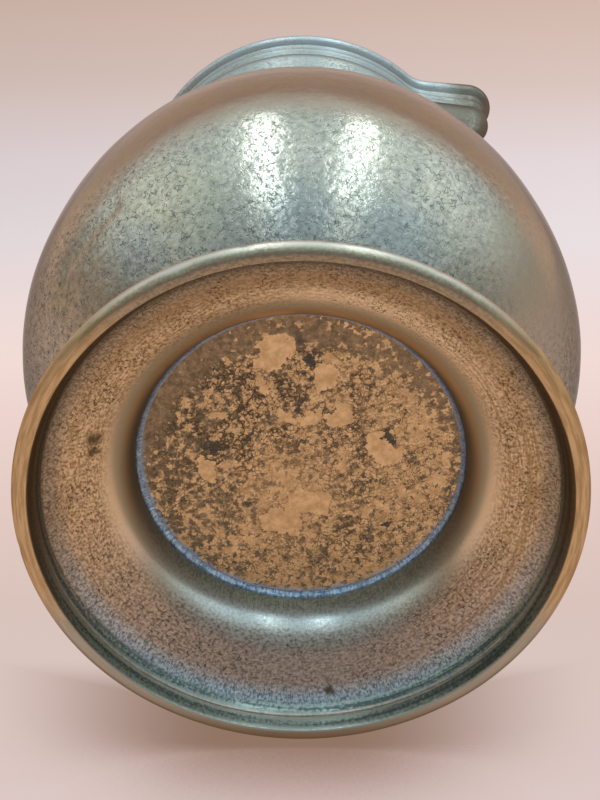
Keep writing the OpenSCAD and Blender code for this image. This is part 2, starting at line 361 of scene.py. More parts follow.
def foot_finish():
    finish, skin, place = new_finish("foot_brass", Metallic=1.0, Specular_Tint=(0.7, 0.65, 0.6, 1))
    radius = distance_from_axis(place)
    height = height_of(place)
    lower = towards(place, lain_on, 0.002, 0.034)
    upper = towards(place, lain_on, -0.008, -0.034)
    topmost = towards(place, lain_on, -0.026, -0.042)
    right = towards(place, lain_across, 0.012, 0.034)
    from_waist = maths("ADD", radius, both(lower, 0.0022))
    throat = step_up(from_waist, 0.0352, 0.0318)
    corner = step_up(radius, 0.0314, 0.0290)
    inside = step_up(radius, 0.0456, 0.0452)
    outer = step_up(height, 0.0004, 0.0014)
    flange = both(step_up(from_waist, 0.0326, 0.0360), step_up(height, 0.0050, 0.0058))
    fillet = both(step_up(height, 0.0072, 0.0061), step_up(height, 0.0047, 0.0056), inside)
    hem = both(step_up(height, 0.0056, 0.0048), inside)
    hem_edge = both(step_up(height, 0.0021, 0.0029), step_up(height, 0.0041, 0.0034), inside)
    hem_broken = step_up(cloud(place, 0.0012, 3.0, 0.65), 0.30, 0.58)
    hem_edge = both(hem_edge, between(hem_broken, 0.5, 1.0))

    patchy = cloud(place, 0.0050, 3.0, 0.6)
    pebbles = cloud(place, 0.00052, 2.0, 0.6)
    marks = lathe_marks(place, radius, 0.0013, 0.00030)
    streaks = lathe_marks(place, radius, 0.006, 0.0006)
    lines = turning_lines(place, radius, 0.00042)
    hatch = mixed(lathe_marks(place, radius, 0.00022, 0.0008), pebbles)
    mottle = step_up(mixed(pebbles, marks, 0.6), 0.36, 0.62)
    scored = step_up(mixed(lines, pebbles, 0.6), 0.42, 0.62)
    ringed = both(step_up(lines, 0.50, 0.62), right, flange)
    pits = both(step_up(pebbles, 0.40, 0.33), step_up(patchy, 0.46, 0.62), flange)
    cracks = both(wriggles(place, 0.0012, 0.022), step_up(patchy, 0.42, 0.56), flange)
    pitted = most(pits, cracks)
    pocked = both(step_up(pebbles, 0.50, 0.34), throat, lower)
    browner = both(most(step_up(patchy, 0.48, 0.70), upper), step_up(radius, 0.0368, 0.0392))
    rubbed = both(upper, step_up(radius, 0.0385, 0.0358), towards(place, lain_across, -0.012, 0.006))
    stains = spots(
        pulled(place, 0.0016, 0.0026),
        ((-0.0262, -0.0243, 0.0086), 0.0019),
        ((-0.0276, -0.0222, 0.0086), 0.0016),
        ((-0.0147, 0.0387, 0.0064), 0.0010),
        ((0.0410, -0.0041, 0.0068), 0.0009),
    )

    dark = blend(lower, (0.31, 0.195, 0.095), (0.24, 0.195, 0.155))
    light = blend(lower, (0.76, 0.57, 0.335), (0.53, 0.44, 0.35))
    colour = blend(mottle, dark, light)
    colour = tinted(colour, (0.36, 0.235, 0.12), browner, rest(lower), 0.65)
    colour = tinted(colour, (0.98, 0.76, 0.48), rubbed, 0.7)
    # Painted highlight and shade: on the lower side the throat is pale silver, which makes the lamps'
    # highlights there neutral, and it is dimmer towards the right.
    throat_sheen = towards(place, lain_across, 0.003, 0.018)
    throat_sheen = blend(throat_sheen, (0.72, 0.74, 0.71), (0.60, 0.60, 0.55))
    smooth = blend(lower, (0.84, 0.64, 0.40), throat_sheen)
    smooth = tinted(smooth, (0.24, 0.27, 0.27), pocked, 0.3)
    colour = blend(throat, colour, smooth)
    # Painted shade: the corner of the waist by the solder is darkened. On the lower side it gets a streaked
    # bluish tone, a painted reflection of the sky.
    corner_sky_reflection = blend(step_up(hatch, 0.38, 0.62), (0.24, 0.29, 0.29), (0.52, 0.60, 0.62))
    colour = blend(corner, colour, blend(lower, (0.22, 0.18, 0.13), corner_sky_reflection))
    colour = tinted(colour, (0.36, 0.23, 0.115), ringed, 0.55)
    colour = tinted(colour, (0.13, 0.085, 0.05), pitted, 0.8)
    glints = blend(lower, (0.40, 0.33, 0.235), (0.66, 0.72, 0.74))
    dull = blend(lower, (0.20, 0.155, 0.10), (0.20, 0.235, 0.25))
    glints = blend(step_up(hatch, 0.40, 0.60), dull, glints)
    colour = tinted(colour, glints, fillet, 0.85)
    # Painted shade: the hem and the recess above it are made dark, over fine scratches.
    hem_dark = blend(lower, (0.15, 0.12, 0.085), (0.10, 0.125, 0.115))
    hem_light = blend(lower, (0.27, 0.21, 0.14), (0.36, 0.42, 0.38))
    colour = blend(hem, colour, blend(scored, hem_dark, hem_light))
    # Painted highlight: a bright line along the top edge of the hem wall, broken in places and near white
    # on the lower side.
    hem_highlight = blend(lower, (0.30, 0.25, 0.17), (0.86, 0.88, 0.84))
    colour = blend(hem_edge, colour, hem_highlight)

    face = blend(step_up(streaks, 0.36, 0.64), (0.46, 0.31, 0.15), (0.66, 0.47, 0.25))
    # Painted light: along the top of the rim the face is turned olive grey, and its outer bead pale as a
    # painted highlight.
    face = tinted(face, blend(mottle, (0.21, 0.18, 0.13), (0.36, 0.32, 0.24)), topmost, 0.8)
    face = tinted(face, (0.54, 0.49, 0.41), outer, topmost)
    # Painted reflection: on the lower side the rim's face is made paler, above all its outer roll, for the
    # lit paper it reflects.
    low_face_reflection = blend(outer, (0.40, 0.41, 0.35), (0.78, 0.72, 0.60))
    face = tinted(face, low_face_reflection, step_up(lower, 0.3, 0.9), 0.8)
    colour = blend(step_up(radius, 0.0450, 0.0454), colour, face)
    colour = tinted(colour, (0.10, 0.07, 0.03), stains, 0.85)
    rough = between(throat, between(mottle, 0.42, 0.30), between(lower, 0.32, 0.18))
    rough = maths("ADD", rough, both(most(pits, corner), 0.20))
    dressed(skin, Base_Color=colour, Roughness=rough)
    relief(
        skin,
        (both(lines, most(flange, hem)), 0.00004),
        (both(mottle, flange), 0.00002),
        (pitted, -0.00003),
        (both(hatch, fillet), 0.00005),
    )
    return finish


def foot_wear(points, outward):
    """Slow waviness of the spun sheet and small knocks along the rim."""
    knock_depth, knock_share = 0.0006, 0.45
    rim_start, rim_blend = 0.0455, 0.0008
    wave = sunken(points, depth=0.00004, size=0.02, seed=1)
    radius = np.hypot(points[:, 0], points[:, 1])
    at_rim = np.clip((radius - rim_start) / rim_blend, 0, 1)
    knocks = np.clip(waves(points, size=0.0045, seed=2) - knock_share, 0, 1) * knock_depth
    return -outward * (wave + at_rim * knocks)[:, None]


land_inside = foot_radius - rim_round - land_width
hem_radius = land_inside - hem_lean
bend_centre = (waist_inside + waist_bend, waist_start)
flange_end = at(hem_radius - flange_set_in, flange_height)
to_rim = flange_end - bend_centre
flange_turn = heading(to_rim) + 360 - math.degrees(math.acos(waist_bend / np.linalg.norm(to_rim)))
flange_up = -polar((0, 0), 1, flange_turn)
hem_step_end = at(hem_radius + hem_step, hem_height + hem_step)
hem_turn = heading(hem_step_end - flange_end) + 270
fillet_reach = flange_fillet / math.cos(math.radians((flange_turn - hem_turn) / 2))
fillet_centre = polar(flange_end, fillet_reach, (flange_turn + hem_turn) / 2)
foot_outline = [
    at(waist_inside, waist_top),
    *arc(bend_centre, waist_bend, 180, flange_turn),
    *arc(fillet_centre, flange_fillet, flange_turn - 180, hem_turn - 180),
    hem_step_end,
    at(hem_radius, hem_height),
    at(land_inside, 0.0),
    *arc((foot_radius - rim_round, rim_round), rim_round, -90, rim_roll_end),
    flange_end + foot_wall * flange_up,
    *arc(bend_centre, waist_bend - foot_wall, flange_turn, 180),
    at(waist_inside + foot_wall, waist_top),
]
foot_outline = spaced(eased(foot_outline, foot_corner), foot_step)
turned_piece("turned_foot", foot_outline, foot_segments, foot_finish(), "foot_ring", foot_wear)


# Base disc: a flat plate of sheet brass that closes the waist and is the floor of the pot.
# Its lacquer has gone dark and crazed, and bare gold patches show where it has flaked off.
disc_low, disc_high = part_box("base_disc")
disc_radius = disc_high.x
disc_rings = 48
disc_segments = 240
pale_ring_side = (-0.72, 0.69, 0.0)
flake_spread = 1.7
chip_spread = 2.2


def cell_cracks(place, size, width):
    """1 along thin cracks that close round cells of about that size."""
    inputs = {"Vector": place, "Scale": 1 / size}
    apart = node("TexVoronoi", inputs, feature="DISTANCE_TO_EDGE").outputs["Distance"]
    return step_up(apart, width, width * 0.3)


def base_finish():
    finish, skin, place = new_finish("base_brass")
    radius = distance_from_axis(place)
    grain = cloud(place, 0.0011, 3.0, 0.64)
    drift = cloud(place, 0.0060, 3.0, 0.6)
    ragged = pulled(place, 0.0040, 0.0085)
    reach = maths("ADD", radius, both(drift, 0.004))
    reach = maths("SUBTRACT", reach, both(along(place, lain_on), 0.20))
    edge = step_up(reach, 0.0258, 0.0305)
    dull_side = towards(place, lain_across, -0.008, -0.022)
    rubbed_side = towards(place, lain_across, 0.004, 0.020)
    smooth_side = towards(place, (-0.93, 0.37, 0.0), 0.007, 0.018)
    calm = round_spot(ragged, (-0.0045, 0.0060, disc_low.z), 0.014)
    flakes = (
        (0.0051, -0.0208, 0.0030),
        (0.0120, -0.0122, 0.0022),
        (0.0022, -0.0082, 0.0017),
        (0.0056, -0.0064, 0.0018),
        (0.0100, -0.0042, 0.0020),
        (0.0127, 0.0052, 0.0032),
        (-0.0156, -0.0057, 0.0016),
        (-0.0092, 0.0093, 0.0032),
        (-0.0030, 0.0085, 0.0030),
    )
    lifted = spots(ragged, *(((x, y, disc_low.z), size * flake_spread) for x, y, size in flakes))
    chips = (
        (0.0102, -0.0213, 0.0011),
        (0.0100, -0.0158, 0.0008),
        (-0.0031, 0.0130, 0.0008),
        (-0.0131, -0.0101, 0.0010),
        (0.0045, -0.0098, 0.0007),
        (0.0159, 0.0031, 0.0008),
        (0.0074, 0.0185, 0.0007),
        (-0.0125, 0.0028, 0.0006),
    )
    chipped = spots(ragged, *(((x, y, disc_low.z), size * chip_spread) for x, y, size in chips))
    torn = maths("ADD", lifted, both(maths("SUBTRACT", grain, 0.5), 0.8))
    flaked = step_up(torn, 0.40, 0.47)
    flake_edge = maths("SUBTRACT", step_up(torn, 0.27, 0.40), flaked)
    skinned = maths("ADD", grain, both(maths("SUBTRACT", drift, 0.5), 0.22))
    held_back = ((chipped, 0.34), (dull_side, 0.07), (edge, 0.14), (rubbed_side, -0.05), (calm, -0.05))
    for share, weight in held_back:
        skinned = maths("SUBTRACT", skinned, both(share, weight))
    bare = most(step_up(skinned, 0.44, 0.49), flaked)
    covered = both(rest(flaked), rest(edge, 0.7), rest(calm, 0.6))
    sunk = both(step_up(skinned, 0.40, 0.34), covered)
    crazing = cloud(place, 0.0048, 3.0, 0.6)
    kinked = pulled(place, 0.0012, 0.0009)
    cells = both(cell_cracks(kinked, 0.00095, 0.14), step_up(crazing, 0.40, 0.52))
    thinned = most(both(smooth_side, 0.75), both(rubbed_side, 0.6))
    cells = both(cells, step_up(grain, 0.64, 0.50), rest(thinned))
    nets = both(wriggles(place, 0.00085, 0.034), step_up(drift, 0.70, 0.42))
    nets = both(most(cells, nets), covered)

    gold = step_up(cloud(place, 0.0018, 4.0, 0.65), 0.3, 0.7)
    gold = blend(gold, (0.60, 0.40, 0.195), (0.88, 0.62, 0.335))
    film = step_up(cloud(place, 0.0013, 4.0, 0.7), 0.3, 0.7)
    film = blend(film, (0.23, 0.17, 0.097), (0.52, 0.365, 0.20))
    film = blend(calm, film, (0.50, 0.325, 0.16))
    colour = blend(bare, film, gold)
    colour = tinted(colour, (0.13, 0.09, 0.055), sunk, 0.4)
    colour = tinted(colour, (0.085, 0.058, 0.036), nets, 0.85)
    colour = tinted(colour, (0.15, 0.10, 0.06), flake_edge, rest(edge), 0.6)
    colour = tinted(colour, (0.085, 0.075, 0.075), chipped, rest(bare), 0.8)
    frosted = maths("ADD", radius, both(cloud(place, 0.0007, 3.0, 0.7), 0.004))
    frosted = both(step_up(frosted, 0.0290, 0.0297), towards(place, pale_ring_side, -0.004, 0.018))
    colour = tinted(colour, (0.46, 0.58, 0.72), frosted, 0.8)
    metal, rough = between(bare, 0.75, 1.0), between(bare, 0.52, 0.42)
    dressed(skin, Base_Color=colour, Metallic=metal, Roughness=rough)
    relief(skin, (bare, -0.00003), (sunk, -0.00004), (nets, -0.00004))
    return finish


def disc_wear(points, outward):
    """The sheet is no longer quite flat: both faces have sunk a little in places."""
    return -outward * (0, 0, 1) * sunken(points, depth=0.00004, size=0.006, seed=3)[:, None]


disc_steps = np.linspace(0, disc_radius, disc_rings)
disc_outline = [(r, disc_low.z) for r in disc_steps] + [(r, disc_high.z) for r in disc_steps[::-1]]
turned_piece("base_plate", disc_outline, disc_segments, base_finish(), "base_disc", disc_wear)


# Solder: a ring of grey tin solder run into the corner between the disc and the waist.
# It was wiped by hand, so its bead swells and thins, and it has a blue bloom, painted pale towards the
# lamps.
solder_leg = 0.0008
solder_hollow = 0.0003
hollow_points = 12
solder_step = 0.0004
solder_segments = 600


def solder_finish():
    finish, skin, place = new_finish("solder", Metallic=1.0)
    radius = distance_from_axis(place)
    grains = cloud(place, 0.0006, 4.0, 0.65)
    broad = cloud(place, 0.012, 2.0)
    ticks = mixed(lathe_marks(place, radius, 0.0006, 0.0009), grains)
    lower = towards(place, pale_ring_side, -0.012, 0.020)
    # Painted highlight: near white and blue on the side towards the lamps, grey on the rest.
    bloom_and_highlight = blend(lower, (0.40, 0.40, 0.40), (0.74, 0.90, 1.0))
    colour = blend(step_up(ticks, 0.34, 0.66), (0.17, 0.26, 0.42), bloom_and_highlight)
    colour = tinted(colour, (0.26, 0.29, 0.33), step_up(broad, 0.5, 0.75, 0.4))
    dressed(skin, Base_Color=colour, Roughness=between(grains, 0.35, 0.6))
    relief(skin, (ticks, 0.00012), (grains, 0.00010))
    return finish


def solder_wear(points, outward):
    below_disc = points[:, 2] < disc_low.z + 0.0001
    bead = sunken(points, depth=0.00011, size=0.0018, seed=4) * below_disc
    return -outward * bead[:, None]


solder_turn = 180 + math.degrees(math.asin((waist_start - disc_low.z + solder_leg) / waist_bend))
solder_outline = [
    at(waist_inside, disc_high.z),
    at(disc_radius, disc_high.z),
    at(disc_radius, disc_low.z),
    *bend(
        at(waist_inside - solder_leg, disc_low.z),
        at(waist_inside - solder_hollow, disc_low.z - solder_hollow),
        polar(bend_centre, waist_bend, solder_turn),
        hollow_points,
    ),
    *arc(bend_centre, waist_bend, solder_turn, 180),
]
solder_outline = spaced(solder_outline, solder_step)
turned_piece(
    "solder_bead", solder_outline, solder_segments, solder_finish(), "base_solder", solder_wear
)


# Belly: two bowls of sheet brass, raised with the hammer, brazed edge to edge and planished.
# The outside was polished, and has aged to a greenish grey with a fine dark crackle.
belly_seam_low, belly_seam_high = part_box("belly_braze")
belly_radius = belly_seam_high.x
widest = (belly_seam_low.z + belly_seam_high.z) / 2
seam_half = (belly_seam_high.z - belly_seam_low.z) / 2
sheet = 0.0012
belly_step = 0.0015
belly_segments = 420
waist_outside = waist_inside + foot_wall
bowl_in = belly_radius - waist_outside
bowl_start = waist_top + 2 * seam_half
bowl_drop = widest - bowl_start
bowl_arc = (bowl_in**2 + bowl_drop**2) / (2 * bowl_in)
bowl_centre = (belly_radius - bowl_arc, widest)
bowl_foot_turn = heading((waist_outside - bowl_centre[0], -bowl_drop))
crease_start = np.array((-0.0239, -0.0434, 0.0401))
crease_end = np.array((-0.0118, -0.0484, 0.0412))
crease_depth = 0.0004
crease_width = 0.0018


def belly_finish(name, dull=0.0):
    finish, skin, place = new_finish(name, Metallic=1.0, Specular_Tint=(0.5, 0.5, 0.5, 1))
    height = height_of(place)
    broad = cloud(place, 0.022, 3.0, 0.55)
    patchy = cloud(place, 0.008, 3.0, 0.6)
    peel = cloud(place, 0.0011, 1.5, 0.55)
    broken = cloud(place, 0.0014, 2.0)
    ripple = cloud(place, 0.0035, 2.0)
    looped = round_spot(place, (0.0400, -0.0281, 0.0388), 0.020)
    plain = round_spot(place, (0.0490, -0.0020, 0.0400), 0.022)
    olive = round_spot(place, (0.0002, -0.0466, 0.0353), 0.014)
    blue = spots(
        place,
        ((0.0320, -0.0246, 0.0286), 0.011),
        ((-0.0100, -0.0430, 0.0320), 0.009),
        ((0.0187, -0.0357, 0.0287), 0.009),
    )
    glossy = both(step_up(height, 0.0480, 0.0545), step_up(height, 0.0850, 0.0700))
    worn_side = towards(place, lain_on, 0.006, 0.030)
    lower_craze = step_up(height, 0.0535, 0.0450)
    upper_craze = both(step_up(height, 0.0740, 0.0840), 0.7)
    faint_craze = 0.18
    crazed = both(most(lower_craze, both(worn_side, 0.8), upper_craze, faint_craze), rest(plain, 0.85))
    ticks = both(wriggles(place, 0.0009, 0.050), step_up(broken, 0.38, 0.54), rest(looped, 0.6))
    loops = both(wriggles(place, 0.0017, 0.030), step_up(broken, 0.30, 0.46), looped)
    nets = both(most(ticks, loops), crazed)
    colour = blend(step_up(broad, 0.3, 0.7), (0.45, 0.42, 0.35), (0.51, 0.455, 0.36))
    colour = tinted(colour, (0.50, 0.45, 0.30), olive, 0.5)
    colour = tinted(colour, (0.35, 0.39, 0.41), blue, 0.4)
    colour = tinted(colour, (0.22, 0.22, 0.20), step_up(peel, 0.52, 0.30), crazed, 0.5)
    colour = tinted(colour, (0.66, 0.61, 0.50), step_up(peel, 0.54, 0.70), crazed, 0.5)
    colour = tinted(colour, (0.06, 0.075, 0.08), nets, 0.7)
    rough = maths("ADD", between(patchy, 0.18 + dull, 0.27 + dull), both(nets, 0.2))
    rough = maths("SUBTRACT", rough, both(glossy, rest(worn_side), 0.09))
    rough = maths("ADD", rough, both(worn_side, 0.08))
    dressed(skin, Base_Color=colour, Roughness=rough)
    relief(skin, (ripple, 0.00009), (both(peel, crazed), 0.00007), (nets, -0.000015))
    return finish


def belly_wear(points, outward):
    """Hammer marks left after planishing, and a crease where the belly was knocked."""
    marks = sunken(points, depth=0.00010, size=0.013, seed=5)
    marks += sunken(points, depth=0.00003, size=0.005, seed=6)
    crease = crease_end - crease_start
    reached = np.clip((points - crease_start) @ crease / (crease @ crease), 0, 1)
    off = np.linalg.norm(points - (crease_start + reached[:, None] * crease), axis=1)
    dents = marks + crease_depth * np.exp(-((off / crease_width) ** 2))
    inward = -points * (1, 1, 0) / np.hypot(points[:, 0], points[:, 1])[:, None]
    return inward * dents[:, None]


def belly_piece(name, outline, step, finish, cad_node):
    turned_piece(name, spaced(outline, step), belly_segments, finish, cad_node, belly_wear)


def seam_turn(radius, side):
    """The angle at which an arc of the belly meets the edge of the seam."""
    return side * math.degrees(math.asin(seam_half / radius))


bowl_inside = bowl_arc - sheet
bowl_outline = [
    *arc(bowl_centre, bowl_arc, bowl_foot_turn, seam_turn(bowl_arc, -1)),
    *arc(bowl_centre, bowl_inside, seam_turn(bowl_inside, -1), bowl_foot_turn, belly_step),
]
belly_piece("belly_lower", bowl_outline, belly_step, belly_finish("belly_brass"), "lower_bowl")


# Waist braze: a ring of brazing brass between the waist and the belly.
# It was run in from outside, and leaves a small hollow fillet in the corner.
fillet_leg = 0.0013
fillet_step = 0.0005
fillet_segments = 360


def braze_finish():
    finish, skin, place = new_finish("braze", Metallic=1.0)
    grains = cloud(place, 0.0008, 4.0, 0.6)
    broad = cloud(place, 0.01, 2.0)
    colour = blend(broad, (0.38, 0.33, 0.24), (0.46, 0.39, 0.27))
    colour = tinted(colour, (0.16, 0.12, 0.08), step_up(grains, 0.55, 0.72, 0.7))
    dressed(skin, Base_Color=colour, Roughness=between(grains, 0.3, 0.5))
    relief(skin, (grains, 0.00006))
    return finish


def fillet_wear(points, outward):
    return -outward * sunken(points, depth=0.00006, size=0.002, seed=7)[:, None]


top_radius = waist_outside + fillet_leg
fillet_top = bowl_centre[1] - math.sqrt(bowl_arc**2 - (top_radius - bowl_centre[0]) ** 2)
waist_outline = [
    polar(bowl_centre, bowl_inside, bowl_foot_turn),
    at(waist_inside, waist_top),
    at(waist_outside, waist_top),
    *bend(
        at(waist_outside, waist_top - fillet_leg),
        at(waist_outside, bowl_start),
        at(top_radius, fillet_top),
        hollow_points,
    ),
    at(waist_outside, bowl_start),
]
waist_outline = spaced(waist_outline, fillet_step)
turned_piece(
    "waist_fillet", waist_outline, fillet_segments, braze_finish(), "waist_braze", fillet_wear
)


# Belly seam: the brazed joint along the widest line, filed and planished flush with the bowls.
# It is polished with them, so only a slight change of tone gives it away.
seam_step = 0.0003
seam_dull = 0.02
seam_outline = [
    *arc(bowl_centre, bowl_arc, seam_turn(bowl_arc, -1), 0),
    at(belly_radius, belly_seam_high.z),
    at(belly_radius - sheet, belly_seam_high.z),
    at(belly_radius - sheet, belly_seam_low.z),
]
seam_finish = belly_finish("belly_seam_brass", seam_dull)
belly_piece("belly_seam", seam_outline, seam_step, seam_finish, "belly_braze")


# Shoulder: the upper bowl, which runs nearly straight and then turns in to the neck.
# It is one sheet, raised and polished like the lower bowl.
side_arc = 0.095
side_turn = 18.0
shoulder_arc = 0.036
shoulder_turn = 56.0
side_inside = side_arc - sheet
shoulder_inside = shoulder_arc - sheet
side_centre = at(belly_radius - side_arc, widest)
shoulder_centre = polar(side_centre, side_arc - shoulder_arc, side_turn)
shoulder_end = polar(shoulder_centre, shoulder_arc, shoulder_turn)
shoulder_in_turn = math.degrees(math.asin((shoulder_end[1] - shoulder_centre[1]) / shoulder_inside))
shoulder_outline = [
    *arc(side_centre, side_arc, seam_turn(side_arc, 1), side_turn),
    *arc(shoulder_centre, shoulder_arc, side_turn, shoulder_turn)[1:],
    *arc(shoulder_centre, shoulder_inside, shoulder_in_turn, side_turn, belly_step),
    *arc(side_centre, side_inside, side_turn, seam_turn(side_inside, 1), belly_step)[1:],
]
shoulder_finish = belly_finish("shoulder_brass")
belly_piece("belly_upper", shoulder_outline, belly_step, shoulder_finish, "upper_bowl")


# Neck seam: the brazed joint between the shoulder and the cast neck, filed flush all round.
# It lies in the hollow of the neck and is polished with it.
neck_seam_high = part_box("neck_braze")[1]
neck_radius = 0.0294
neck_wall = 0.0014
neck_slope = math.radians(shoulder_turn)
neck_base = at(shoulder_end[0] - 2 * seam_half * math.tan(neck_slope), neck_seam_high.z)
neck_bend = (neck_base[0] - neck_radius) / (1 - math.cos(neck_slope))
neck_centre = at(neck_radius + neck_bend, neck_base[1] + neck_bend * math.sin(neck_slope))
neck_in_turn = math.degrees(math.asin((neck_centre[1] - neck_base[1]) / (neck_bend + neck_wall)))
neck_seam_outline = [
    shoulder_end,
    neck_base,
    polar(neck_centre, neck_bend + neck_wall, 180 + neck_in_turn),
    polar(shoulder_centre, shoulder_inside, shoulder_in_turn),
]
neck_seam_finish = belly_finish("neck_seam_brass", seam_dull)
belly_piece("neck_seam", neck_seam_outline, seam_step, neck_seam_finish, "neck_braze")


# Mouth: one brass casting for the neck, the ridged rim and the pouring lip.
# Its ridges follow the rim round and run out together along the lip, which was pulled to a point.
mouth_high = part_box("mouth")[1]
pot_top = mouth_high.z
mouth_bore = 0.0322
rim_height = 0.0144
rim_wall = 0.0017
rim_flare = 0.0032
edge_bead = 0.0013
wide_ridge, wide_ridge_out = 0.0062, 0.0012
narrow_ridge, narrow_ridge_out = 0.0023, 0.0007
fine_ridge, fine_ridge_out = 0.0016, 0.0005
groove = 0.00045
channel_reach = 0.0434
channel_tip = 0.0008
lip_root_turn = 21.7
lip_bend = 0.0129
keel_round = 0.008
lip_spread = 0.3
mouth_step = 0.0010
neck_step = 0.0008
bead_step = 0.0002
tip_points, lip_side_points, lip_bend_points, round_points = 19, 13, 21, 111
rim_low = pot_top - rim_height
rim_base = mouth_bore + rim_wall
flare_out = rim_base - neck_radius
flare_rise = rim_low - neck_centre[1]
flare_arc = (flare_out**2 + flare_rise**2) / (2 * flare_out)
flare_turn = math.degrees(math.asin(flare_rise / flare_arc))
flare_centre = at(neck_radius + flare_arc, neck_centre[1])
edge_centre = at(rim_base + rim_flare - edge_bead, pot_top - edge_bead)
wide_top = rim_height - groove - wide_ridge
narrow_top = wide_top - groove - narrow_ridge
fine_top = narrow_top - groove - fine_ridge
lip_reach = channel_reach - mouth_bore
lip_bend_centre = polar((0, 0), mouth_bore + lip_bend, lip_root_turn)


def ridge_points(top, height, out, count):
    """A half-round ridge on the sloping wall of the rim, from its foot up."""
    made = []
    for share in np.linspace(1, 0, count):
        depth = top + height * share
        wall = rim_base + (rim_flare - edge_bead) * (1 - depth / rim_height)
        made.append(at(wall + out * math.sin(math.pi * share), pot_top - depth))
    return made


def mouth_plan(share):
    """The inner edge of the mouth seen from above, with its outward direction at each point."""
    reach = mouth_bore + lip_reach * share
    tip = channel_tip + keel_round * (1 - share)
    tip_centre = at(reach - tip, 0.0)
    across = lip_bend_centre - tip_centre
    lean = math.acos((tip + lip_bend) / np.linalg.norm(across))
    side = math.degrees(math.atan2(across[1], across[0]) - lean)
    side_start, side_end = polar(tip_centre, tip, side), polar(lip_bend_centre, -lip_bend, side)
    tip_turns = np.linspace(0, side, tip_points)
    side_shares = np.linspace(0, 1, lip_side_points)[1:]
    bend_turns = np.linspace(side, lip_root_turn, lip_bend_points)[1:]
    round_turns = np.linspace(lip_root_turn, 180, round_points)[1:]
    half = [(polar(tip_centre, tip, a), a) for a in tip_turns]
    half += [(side_start + (side_end - side_start) * u, side) for u in side_shares]
    half += [(polar(lip_bend_centre, -lip_bend, a), a) for a in bend_turns]
    half += [(polar((0, 0), mouth_bore, a), a) for a in round_turns]
    whole = half + [(point * (1, -1), -turn) for point, turn in half[-2:0:-1]]
    return [(point, polar((0, 0), 1, turn)) for point, turn in whole]


def mouth_ring(radius, height):
    """One level of the casting: round on the neck, and drawn out into the lip at the rim."""
    rise = min(1.0, max(0.0, (height - neck_centre[1]) / flare_rise))
    share = rise * rise * (3 - 2 * rise)
    ring = []
    for point, outward in mouth_plan(share):
        apart = np.linalg.norm(point)
        place = (1 - share) * radius * point / apart + share * (point + (radius - mouth_bore) * outward)
        far = max(0.0, apart - mouth_bore) / lip_reach
        sunk = lip_spread * far * share * min(rim_height, pot_top - height)
        ring.append((*place, height - sunk))
    return ring


def mouth_finish():
    finish, skin, place = new_finish("mouth_brass", Metallic=1.0, Specular_Tint=(0.5, 0.5, 0.5, 1))
    height = height_of(place)
    radius = distance_from_axis(place)
    broad = cloud(place, 0.016, 3.0, 0.55)
    fine = cloud(place, 0.0007, 3.0, 0.6)
    nets = both(wriggles(place, 0.0009, 0.03), step_up(broad, 0.4, 0.6))
    neck = step_up(height, rim_low + 0.001, rim_low - 0.004)
    inside = step_up(radius, mouth_bore + 0.0016, mouth_bore + 0.0006)
    # Painted shade and reflection: the lip's far end and underside are made dark brown, for the shade under
    # the lip and the paper reflected at its tip.
    low_lip = both(step_up(radius, 0.0365, 0.0400), step_up(height, 0.1390, 0.1350))
    browner = most(step_up(radius, 0.0400, 0.0450), low_lip)
    handled = step_up(height, pot_top - 0.0034, pot_top - 0.0012)
    colour = blend(step_up(broad, 0.3, 0.7), (0.33, 0.355, 0.355), (0.41, 0.395, 0.345))
    colour = tinted(colour, (0.46, 0.42, 0.34), neck)
    colour = tinted(colour, (0.40, 0.33, 0.23), inside)
    colour = tinted(colour, (0.18, 0.15, 0.11), browner, 0.9)
    colour = tinted(colour, (0.55, 0.58, 0.58), handled, rest(browner), 0.8)
    colour = tinted(colour, (0.20, 0.20, 0.18), step_up(fine, 0.58, 0.75, 0.4))
    colour = tinted(colour, (0.12, 0.12, 0.12), nets, 0.6)
    dressed(skin, Base_Color=colour, Roughness=between(broad, 0.32, 0.46))
    relief(skin, (cloud(place, 0.003, 2.0), 0.00006), (fine, 0.00002), (nets, -0.00004))
    return finish


mouth_outline = [
    *arc(neck_centre, neck_bend, 180 + shoulder_turn, 180),
    *arc(flare_centre, flare_arc, 180, 180 - flare_turn, neck_step)[1:],
    *ridge_points(wide_top, wide_ridge, wide_ridge_out, 22),
    *ridge_points(narrow_top, narrow_ridge, narrow_ridge_out, 14),
    *ridge_points(fine_top, fine_ridge, fine_ridge_out, 12),
    *arc(edge_centre, edge_bead, -60, 180, bead_step),
    at(mouth_bore + (rim_flare + rim_wall - 2 * edge_bead) / 2, pot_top - rim_height / 2),
    at(mouth_bore, rim_low),
    *arc(flare_centre, flare_arc + neck_wall, 180 - flare_turn, 180, belly_step)[1:-1],
    *arc(neck_centre, neck_bend + neck_wall, 180, 180 + neck_in_turn, neck_step),
]
mouth_points = np.array([mouth_ring(*level) for level in spaced(mouth_outline, mouth_step)])
levels, around = mouth_points.shape[:2]
mouth_points = mouth_points.reshape(-1, 3)
mouth_run = np.arange(levels + 1) / levels
mesh_piece("cast_mouth", mouth_points, mouth_run, around, mouth_finish(), "mouth")


